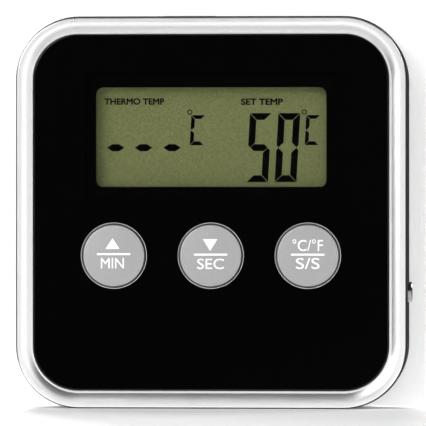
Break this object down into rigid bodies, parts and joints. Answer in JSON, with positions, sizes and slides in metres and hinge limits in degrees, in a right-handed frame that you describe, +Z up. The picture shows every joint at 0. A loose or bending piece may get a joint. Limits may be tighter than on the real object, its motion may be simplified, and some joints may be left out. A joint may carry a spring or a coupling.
{
  "type": "meat thermometer",
  "caption": "Square kitchen and barbecue thermometer display unit with a dark gloss face, LCD, round push buttons, side probe socket, slide switch, fold-out stand and magnets.",
  "frame": {"origin": "on the flat bottom face that the unit stands on, midway across, and midway between the ring's crest and the back face", "axes": "+Z up the display, face towards -Y, probe socket on the +X side"},
  "size_m": [0.0708, 0.0182, 0.0703],
  "materials": {
    "silver_plastic": "satin silver paint",
    "clear_acrylic": "clear, polished",
    "black_print": "back-printed black",
    "adhesive": "matt",
    "display_glass": "clear",
    "cell_seal": "matt",
    "display_green": "matt reflective film",
    "white_plastic": "moulded",
    "contact_rubber": "matt",
    "board_green": "solder resist",
    "epoxy": "cast",
    "component_brown": "matt",
    "black_moulding": "fine matt",
    "bright_steel": "plated",
    "button_grey": "satin grey",
    "plunger_grey": "matt",
    "nickel_plate": "bright nickel",
    "contact_bronze": "bright",
    "knob_grey": "satin silver paint",
    "shell_black": "fine texture",
    "door_black": "fine texture",
    "stand_black": "fine texture",
    "battery_sleeve": "printed sleeve",
    "red_lead": "smooth insulation",
    "black_lead": "smooth insulation"
  },
  "bodies": {
    "case": {"front_bezel": "silver_plastic", "front_panel": "clear_acrylic", "panel_print": "black_print", "panel_adhesive": "adhesive", "lcd_front_glass": "display_glass", "lcd_rear_glass": "display_glass", "lcd_seal": "cell_seal", "lcd_reflector": "display_green", "lcd_holder": "white_plastic", "zebra_strip": "contact_rubber", "main_board": "board_green", "controller_blob": "epoxy", "board_components": "component_brown", "tact_switches": "black_moulding", "buzzer_can": "black_moulding", "jack_body": "black_moulding", "clock_crystal": "bright_steel", "switch_frame": "bright_steel", "case_screws": "bright_steel", "board_screws": "bright_steel", "stand_pin": "bright_steel", "battery_spring": "bright_steel", "positive_contact": "bright_steel", "negative_contact": "bright_steel", "battery_tip": "bright_steel", "jack_ferrule": "nickel_plate", "left_magnet": "nickel_plate", "right_magnet": "nickel_plate", "jack_contacts": "contact_bronze", "rear_shell": "shell_black", "battery_can": "battery_sleeve", "positive_lead": "red_lead", "negative_lead": "black_lead"},
    "min_key": {"min_button": "button_grey", "min_plunger": "plunger_grey"},
    "sec_key": {"sec_button": "button_grey", "sec_plunger": "plunger_grey"},
    "start_key": {"start_button": "button_grey", "start_plunger": "plunger_grey"},
    "mode_switch": {"switch_knob": "knob_grey", "switch_slider": "plunger_grey"},
    "stand": {"stand_leg": "stand_black"},
    "door": {"battery_door": "door_black"}
  },
  "joints": [
    {"name": "min_press", "type": "slide", "parent": "case", "child": "min_key", "axis": [0, 1, 0], "range_m": [0, 0.0006], "stiffness_N_per_m": 300},
    {"name": "sec_press", "type": "slide", "parent": "case", "child": "sec_key", "axis": [0, 1, 0], "range_m": [0, 0.0006], "stiffness_N_per_m": 300},
    {"name": "start_press", "type": "slide", "parent": "case", "child": "start_key", "axis": [0, 1, 0], "range_m": [0, 0.0006], "stiffness_N_per_m": 300},
    {"name": "mode_slide", "type": "slide", "parent": "case", "child": "mode_switch", "axis": [1, 0, 0], "range_m": [0, 0.003]},
    {"name": "stand_fold", "type": "hinge", "parent": "case", "child": "stand", "pos_m": [0, 0.0078, 0.052], "axis": [1, 0, 0], "range_deg": [0, 55]},
    {"name": "door_open", "type": "hinge", "parent": "case", "child": "door", "pos_m": [0, 0.0079, 0.0169], "axis": [1, 0, 0], "range_deg": [0, 75]}
  ]
}
